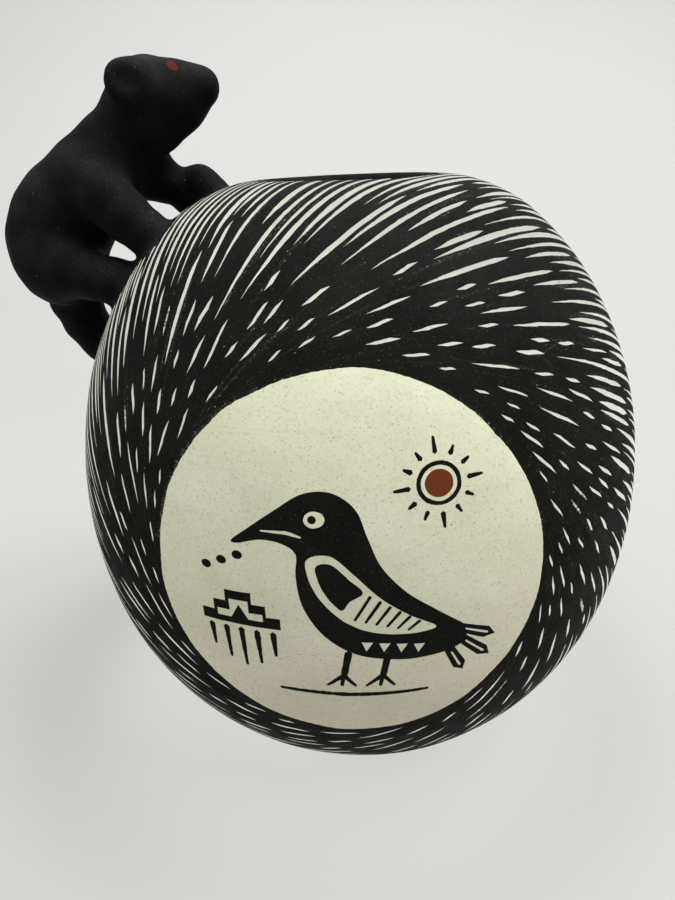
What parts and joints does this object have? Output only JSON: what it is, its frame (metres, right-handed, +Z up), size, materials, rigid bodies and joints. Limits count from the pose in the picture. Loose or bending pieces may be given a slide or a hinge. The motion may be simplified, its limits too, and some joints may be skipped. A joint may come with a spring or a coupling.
{
  "type": "pueblo pottery jar",
  "caption": "Round coil-built pottery jar with an open mouth, matt black etched paint over pale slip, a round pale medallion in front and a modelled bear climbing its shoulder as a handle.",
  "frame": {"origin": "centre of the flat resting face under the jar, on the jar's axis", "axes": "+Z up along the jar's axis; -Y towards the front with the medallion; the bear is on the -X side and looks towards +X"},
  "size_m": [0.122, 0.112, 0.1346],
  "materials": {
    "painted_clay": "matt black paint over pale speckled slip, etched with pale strokes",
    "black_slip_clay": "matt black slip"
  },
  "bodies": {
    "root": {"puki_base": "painted_clay", "wall_coil_1": "painted_clay", "wall_coil_2": "painted_clay", "wall_coil_3": "painted_clay", "wall_coil_4": "painted_clay", "wall_coil_5": "painted_clay", "wall_coil_6": "painted_clay", "rim_coil": "painted_clay", "bear_torso": "black_slip_clay", "bear_head": "black_slip_clay", "bear_ear_left": "black_slip_clay", "bear_ear_right": "black_slip_clay", "bear_foreleg_left": "black_slip_clay", "bear_foreleg_right": "black_slip_clay", "bear_hindleg_left": "black_slip_clay", "bear_hindleg_right": "black_slip_clay"}
  },
  "joints": []
}
